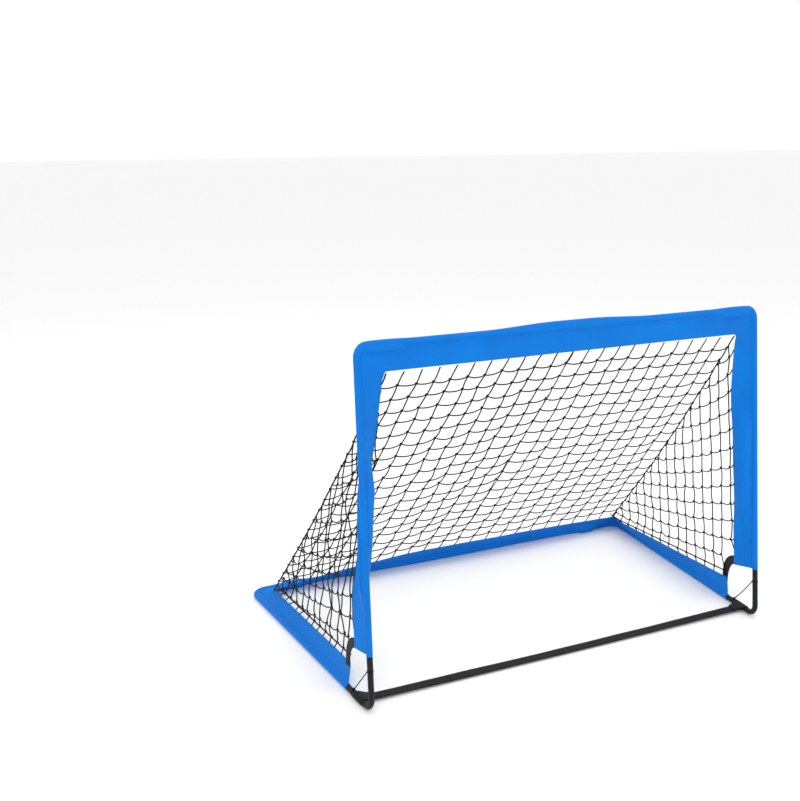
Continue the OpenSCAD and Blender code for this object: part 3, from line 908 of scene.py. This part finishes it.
def knot(builder, p, a, b, r):
    """A small two-lobed knot at p, its strands in directions a and b."""
    for k, (u, v) in enumerate(((a, b), (b, a))):
        w = unit(np.cross(u, v)) * (0.45 * r if k else -0.45 * r)
        loop = [
            p + w + u * r * 0.75 * math.cos(q) + v * r * 0.55 * math.sin(q)
            for q in np.linspace(0, 2 * math.pi, 7)
        ]
        tube(builder, loop, r * 0.62, 5)


def sagging(a, b, sag, side, n=4):
    """n points from a towards b, without b, hanging by sag and pushed by side in the middle."""
    t = np.linspace(0, 1, n + 1)[:-1]
    p = a + (b - a) * t[:, None]
    p[:, 2] -= sag * 4 * t * (1 - t)
    p += np.outer(4 * t * (1 - t), side)
    return p


def back_net(side):
    """One half of the net's back: columns up the slope, rows across it, and their knots."""
    s = 1 if side == "right" else -1
    rng = np.random.default_rng(7 if s > 0 else 19)
    low = vec(0, heel[1], heel[2]) + rear_dir(0, side) * (REACH - TIE_IN)
    high = vec(0, top[1], top[2]) - UP * (REACH - 0.002)
    crest = [crease(v, side) for v in np.linspace(0, 1, BACK_ROWS + 1)]
    normal = unit(np.cross(vec(1, 0, 0), low - high))
    if normal[2] < 0:
        normal = -normal
    grid = np.zeros((BACK_ROWS + 1, MESH_COLUMNS + 1, 3))
    for i in range(BACK_ROWS + 1):
        v = i / BACK_ROWS
        centre = mix(high, low, v)
        for j in range(MESH_COLUMNS + 1):
            q = j / MESH_COLUMNS
            p = mix(centre, crest[i], q)
            hem = mix(low, crest[-1], q)
            edge = vec(hem[0], heel[1], heel[2]) + rear_dir(hem[0], side) * (REACH - TIE_IN)
            p = p + (edge - hem) * v**3 * (1 - q**6)
            hang = math.sin(math.pi * v) * 0.010 * (1 - q * q)
            p = p - normal * hang
            if 0 < i < BACK_ROWS and j < MESH_COLUMNS:
                p = p + vec(*(rng.normal(0, 0.0016, 3)))
            if 0 < i < BACK_ROWS:
                p[2] -= 0.004 * math.sin(math.pi * v) * (1 if j % 2 else -0.2)
            grid[i, j] = p
    grid[:, 0, 0] = 0.0
    b = Builder()
    for j in range(MESH_COLUMNS + 1):
        pts = []
        for i in range(BACK_ROWS):
            side_way = vec(rng.normal(0, 0.0010), 0, rng.normal(0, 0.0008))
            pts.append(sagging(grid[i, j], grid[i + 1, j], 0.0006, side_way, 3))
        pts = np.vstack(pts + [grid[BACK_ROWS, j][None]])
        if j == 0:
            pts = pts + vec(TWINE_R * 0.3, 0, 0)
            radius = TWINE_R * 0.8
        else:
            radius = TWINE_R * (1.25 if j == MESH_COLUMNS else 1.0)
        tube(b, pts, radius, 6)
    for i in range(1, BACK_ROWS):
        pts = []
        for j in range(MESH_COLUMNS):
            sag = 0.0028 + abs(rng.normal(0, 0.0012))
            pts.append(sagging(grid[i, j], grid[i, j + 1], sag, vec(0, 0, 0), 4))
        pts = np.vstack(pts + [grid[i, MESH_COLUMNS][None]])
        tube(b, pts, TWINE_R, 6)
    for i in range(1, BACK_ROWS):
        for j in range(MESH_COLUMNS + 1):
            up_way = unit(grid[i - 1, j] - grid[i + 1, j])
            across = unit(grid[i, min(j + 1, MESH_COLUMNS)] - grid[i, max(j - 1, 0)])
            p = grid[i, j] + (vec(TWINE_R * 0.3, 0, 0) if j == 0 else 0)
            knot(b, p, across, up_way, KNOT_R * (0.8 if j == 0 else 1))
    obj = finish_side(b, f"net_back_{side}", [TWINE], s)
    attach(obj, f"{side}_side")
    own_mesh(obj)
    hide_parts(f"back_net_{side}")


def side_surface(y, z, side):
    """X of the net's side at a place: from the bands' edges to the crease."""
    t = np.clip((y - mitre_top[1]) / (mitre_rear[side][1] - mitre_top[1]), 0, 1)
    edge = crease(float(t), side)
    d = np.clip((y - foot[1]) / BACK[1], BASE_START, BASE_TO)
    tb = (d - BASE_START) / (BASE_TO - BASE_START)
    low = on_base(d) + base_dir(tb, side) * REACH
    v = np.clip((z - low[2]) / max(edge[2] - low[2], 1e-3), 0, 1)
    x = mix(low[0], edge[0], v)
    zp = np.clip(z, POST_END, POST_TO)
    post_x = post_tip(zp, side)[0]
    front = mix(low[0], mitre_top[0], np.clip((z - low[2]) / (mitre_top[2] - low[2]), 0, 1))
    near = math.exp(-max(0.0, y - mitre_top[1]) / 0.10)
    return x + (post_x - front) * near


def side_net(side):
    """The net's side: upright strands from the crease, rows that fan from the post, and ties."""
    s = 1 if side == "right" else -1
    rng = np.random.default_rng(3 if s > 0 else 23)
    y0 = mitre_top[1]
    rear_y = mitre_rear[side][1]
    columns = int((rear_y - y0) / COLUMN_STEP)
    ys = [y0 + COLUMN_STEP * (k + 0.55) for k in range(columns)]

    def row_post(i):
        """Where row i is tied to the post's band."""
        return post_tip(ROW_TOP - ROW_STEP * i, side)

    def row_crease(i):
        """Where row i meets the crease, and how far down it that is."""
        t = 0.12 + 0.115 * i - 0.0034 * i * i
        return crease(t, side), t

    def row_z(i, y):
        """Row i's height at y, and how far from post to crease that is."""
        a = row_post(i)
        c, _ = row_crease(i)
        q = (y - a[1]) / (c[1] - a[1])
        bow = -0.010 * math.sin(math.pi * np.clip(q, 0, 1)) * (1 if s > 0 else 1.8)
        return mix(a[2], c[2], q) + bow, q

    def border(y):
        """The net's lower edge: round the corner webbing, then just above the base band."""
        d = (y - foot[1]) / BACK[1]
        if d < BASE_START + 0.004:
            out = BASE_START - RING_BACK + 0.008
            up = math.sqrt(max(0.0, out**2 - (d - RING_BACK) ** 2))
            return on_base(d) + IN * 0.005 + vec(0, 0, RING_UP + up)
        tb = np.clip((d - BASE_START) / (BASE_TO - BASE_START), 0, 1)
        return on_base(d) + base_dir(tb, side) * (REACH + 0.017)

    b = Builder()
    waves = rng.normal(0, 0.0022, (columns, SIDE_ROWS))
    knots = {}
    for k, y in enumerate(ys):
        t = (y - mitre_top[1]) / (rear_y - mitre_top[1])
        top_p = crease(t, side)
        low_p = border(y)
        stops = [(top_p[2], top_p)]
        for i in range(SIDE_ROWS):
            z, q = row_z(i, y)
            if q > 1.0 or z > top_p[2] - 0.006 or z < low_p[2] + 0.012:
                continue
            p = vec(side_surface(y, z, side), y, z) + vec(waves[k, i] * 1.4, waves[k, i], 0)
            knots[(k, i)] = p
            stops.append((z, p))
        stops.append((low_p[2], low_p))
        stops.sort(key=lambda e: -e[0])
        pts = []
        for (_, a), (_, c) in zip(stops[:-1], stops[1:]):
            way = vec(rng.normal(0, 0.0012), rng.normal(0, 0.0016), 0)
            pts.append(sagging(a, c, 0, way, 4))
        d = (y - foot[1]) / BACK[1]
        shift = rng.normal(0.004, 0.003)
        last = low_p
        if d > BASE_START + 0.004:
            tb = np.clip((d - BASE_START) / (BASE_TO - BASE_START), 0, 1)
            last = on_base(d + shift) + base_dir(tb, side) * (REACH - TIE_IN)
            pts.append(sagging(low_p, last, 0, vec(0, 0.001, 0), 3))
        pts = np.vstack(pts + [last[None]])
        tube(b, pts, TWINE_R, 6)
        knot(b, low_p, BACK, vec(0, 0, 1), KNOT_R)
    for i in range(SIDE_ROWS):
        a = row_post(i)
        c, t = row_crease(i)
        stations = [knots[(k, i)] for k in range(columns) if (k, i) in knots]
        if not stations:
            continue
        above = a[2] >= POST_END + 0.012
        nodes = ([a + vec(0, 0, 0.004)] if above else []) + stations
        if t < 0.985:
            nodes.append(c)
        pts = []
        for p, q in zip(nodes[:-1], nodes[1:]):
            sag = 0.0042 + abs(rng.normal(0, 0.0012))
            tt = np.linspace(0, 1, 6)[:-1]
            seg = p + (q - p) * tt[:, None]
            seg[:, 2] -= sag * np.sin(math.pi * tt) * (1.35 - 0.9 * tt)
            pts.append(seg)
        pts = np.vstack(pts + [nodes[-1][None]])
        tube(b, pts, TWINE_R, 6)
    for (k, i), p in knots.items():
        knot(b, p, vec(0, 1, 0.2), vec(0, 0, 1), KNOT_R)
    y_first = foot[1] + BACK[1] * (BASE_START + 0.006)
    line = [border(y) for y in np.linspace(y_first, rear_y - 0.004, 48)]
    tube(b, line, TWINE_R * 1.2, 6)
    obj = finish_side(b, f"net_side_{side}", [TWINE], s)
    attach(obj, f"{side}_side")
    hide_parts(f"side_net_{side}", f"net_rope_{side}")


# ---------- straps, webbing, cords and covers ----------

# how far the cover's ends go under the sleeves, and where its bend begins and ends
TUCK, COVER_UP, COVER_BACK = 0.006, 0.045, 0.036
RING_W, RING_T = 0.025, 0.0012
BRACE_AT, CORD_R, CORD_KNOT_R = 0.099, 0.0014, 0.0026
STRAP_W, STRAP_AT, STRAP_T, STRAP_LOW = 0.031, 0.066, 0.0016, 0.0030
# the patch: its width and length on the strap, how far it wraps round the tube, its thickness
PATCH_W, FLARE_LONG, FLARE_WRAP, FLARE_T = 0.052, 0.034, math.radians(150), 0.0013
# how much thinner a strip is at its edges
EDGE_THINNER = 0.35


def strip(builder, line, across, width, thick, n_across=8):
    """A flat band along line, thinner at both edges; across is its width's direction."""
    line, across = np.asarray(line, float), np.asarray(across, float)
    width = np.broadcast_to(np.asarray(width, float), (len(line),))
    t = np.gradient(line, axis=0)
    t /= np.linalg.norm(t, axis=1, keepdims=True)
    q = np.linspace(-0.5, 0.5, n_across + 1)
    half = thick / 2 * (1 - EDGE_THINNER * (np.abs(q) * 2) ** 6)
    verts, uv = [], []
    long = walked(line)
    for i, p in enumerate(line):
        a = unit(across[i])
        w = unit(np.cross(t[i], a))
        for k, x in enumerate(q):
            verts.append(p + a * x * width[i] + w * half[k])
            uv.append((long[i], x * width[i]))
        for k in range(n_across, -1, -1):
            verts.append(p + a * q[k] * width[i] - w * half[k])
            uv.append((long[i], q[k] * width[i]))
    builder.add(verts, ring_faces(len(line), 2 * (n_across + 1)), uv)


def trim_piece(builder, name, material, side, replaced):
    """A trim piece that rides on its side frame in place of its CAD node."""
    obj = finish_side(builder, name, [material], 1 if side == "right" else -1)
    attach(obj, f"{side}_side")
    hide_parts(replaced)


def corner_cover(side, seed):
    """Fabric tube over the bare corner, with small folds that gather in the bend."""
    b = Builder()
    line = [on_post(z) for z in np.linspace(POST_END + TUCK, COVER_UP, 22)]
    line += list(corner(foot, -UP, BACK, FOOT_BEND, 16))
    line += [on_base(d) for d in np.linspace(COVER_BACK, BASE_START + TUCK, 26)]
    line = np.array(line)
    line = at(line, resample(line, 0.0028))
    _, u, w = frames_along(line)
    sides = 24
    a = np.arange(sides) * 2 * math.pi / sides
    verts, uv = [], []
    long = walked(line)
    for i, p in enumerate(line):
        bend = math.exp(-((np.linalg.norm(p - foot) - 0.012) / 0.030) ** 2)
        for k in range(sides):
            d = u[i] * math.cos(a[k]) + w[i] * math.sin(a[k])
            q = p + d * COVER_R
            fold = noise.noise(Vector(q) * 90 + Vector((seed, 0, 0)))
            ring = noise.noise(Vector(p) * 210 + Vector((0, seed, 0)))
            r = COVER_R + 0.0003 + 0.00035 * fold + bend * 0.0007 * ring
            verts.append(p + d * r)
            uv.append((long[i], a[k] * COVER_R))
    b.add(verts, ring_faces(len(line), sides), uv)
    trim_piece(b, f"cover_corner_{side}", COVER, side, f"corner_cover_{side}")


def corner_webbing(side):
    """Curved webbing, both ends held between the sleeves' layers."""
    low_dir, high_dir = base_dir(0, side), post_dir(RING_HIGH_AT, side)
    low = on_base(RING_LOW_AT) + low_dir * RING_IN
    high = on_post(RING_HIGH_AT) + high_dir * RING_IN
    line = bezier(low, low + UP * RING_HANDLE, high + BACK * RING_HANDLE, high, 40)
    planes = (unit(np.cross(low_dir, BACK)), unit(np.cross(UP, high_dir)))
    tangent = np.gradient(line, axis=0)
    share = np.linspace(0, 1, len(line))
    normal = [mix(planes[0], planes[1], ease(q)) for q in share]
    out = np.array([unit(np.cross(n, v)) for n, v in zip(normal, tangent)])
    b = Builder()
    strip(b, line, out, RING_W, RING_T)
    trim_piece(b, f"webbing_corner_{side}", WEBBING, side, f"corner_webbing_{side}")


def brace_cord(side):
    """Taut thin cord across the corner, tied round post and base tube with a knot at each."""
    s = 1 if side == "right" else -1
    off = COVER_R + CORD_KNOT_R * 0.8
    p0 = on_post(foot[2] + BRACE_AT) + vec(0, 1, 0) * off
    p1 = on_base(BRACE_AT) + vec(0, 0, 1) * off
    t = np.linspace(0, 1, 24)
    line = p0 + (p1 - p0) * t[:, None]
    line[:, 2] -= 0.0022 * 4 * t * (1 - t)
    line[:, 0] += 0.0012 * np.sin(math.pi * t)
    if s < 0:
        line = mirrored(line)
    b = Builder()
    tube(b, line, CORD_R, 8)
    cord = b.make(f"cord_brace_{side}", [TWINE])
    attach(cord, f"{side}_side")
    b = Builder()
    for p, way in ((p0, UP), (p1, BACK)):
        c = p - (vec(0, 1, 0) if way is UP else vec(0, 0, 1)) * off
        e1 = unit(np.cross(way, vec(1, 0.2, 0.1)))
        e2 = np.cross(way, e1)
        for turn in (-0.5, 0.5):
            loop = [
                c + way * (turn * 0.0019) + (e1 * math.cos(q) + e2 * math.sin(q)) * (COVER_R + 0.0004)
                for q in np.linspace(0, 2 * math.pi, 33)
            ]
            tube(b, loop, 0.0009, 8)
        knot(b, p, way, vec(1, 0, 0), KNOT_R)
    ends = finish_side(b, f"cord_brace_knots_{side}", [TWINE], s)
    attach(ends, f"{side}_side")
    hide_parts(f"brace_cord_{side}")


def front_strap(side, seed):
    """One half of the strap across the mouth, which closes up as the goal folds."""
    p = on_base(STRAP_AT)
    line, across = [], []
    for x in np.linspace(HALF_GAP, p[0] - COVER_R, 90):
        z = p[2] - 0.0008 - 0.0035 * math.sin(math.pi * min(1, x / p[0]) * 0.5 + math.pi / 2)
        z += 0.0007 * noise.noise(Vector((x * 9, seed, 0)))
        roll = 0.05 * noise.noise(Vector((x * 5, 0, seed)))
        line.append(vec(x, p[1], max(z, STRAP_LOW)))
        across.append(vec(0, math.cos(roll), math.sin(roll)))
    b = Builder()
    strip(b, line, across, STRAP_W, STRAP_T)
    obj = finish_side(b, f"strap_front_{side}", [WEBBING], 1 if side == "right" else -1)
    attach(obj, f"{side}_side")
    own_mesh(obj)
    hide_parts(f"front_strap_{side}")


def strap_patch(side):
    """The strap's flared end, wrapped round the base tube."""
    p = on_base(STRAP_AT)
    splay = math.atan2(BACK[0], BACK[1])
    line, across, width = [], [], []
    for q in np.arange(26) / 25:
        if q < 0.5:
            k = q / 0.5
            line.append(p + vec(-COVER_R * 0.2 - FLARE_LONG * (1 - k), 0, 0.0022 + 0.0058 * ease(k)))
            width.append(mix(STRAP_W + 0.001, PATCH_W, ease(k) ** 1.6))
        else:
            ang = math.pi / 2 - (q - 0.5) / 0.5 * FLARE_WRAP
            line.append(p + vec(math.cos(ang), 0, math.sin(ang)) * (COVER_R + 0.0016))
            width.append(PATCH_W - 0.006 * (q - 0.5) / 0.5)
        across.append(vec(math.sin(splay), math.cos(splay), 0))
    b = Builder()
    strip(b, line, across, width, FLARE_T, n_across=12)
    trim_piece(b, f"strap_patch_{side}_flare", WEBBING, side, f"strap_patch_{side}")


def make_trim(side):
    """Everything small on one side frame: cover, webbing, brace, strap and its patch."""
    seed = 2.0 if side == "right" else 9.0
    corner_cover(side, seed)
    corner_webbing(side)
    brace_cord(side)
    front_strap(side, seed)
    strap_patch(side)


def paint_cad():
    """Materials for the CAD nodes that show: tubes, hinges, pins and springs."""
    for name, obj in frame["nodes"].items():
        if obj.hide_render:
            continue
        mat = PAINT
        if "fork" in name or "tongue" in name:
            mat = ZINC
        elif "pin" in name or "spring" in name:
            mat = PIN
        for slot in obj.material_slots:
            slot.material = mat


make_camera()
make_floor()
make_lights()
make_sleeves()
for side_name in ("right", "left"):
    back_net(side_name)
    side_net(side_name)
    make_trim(side_name)
paint_cad()
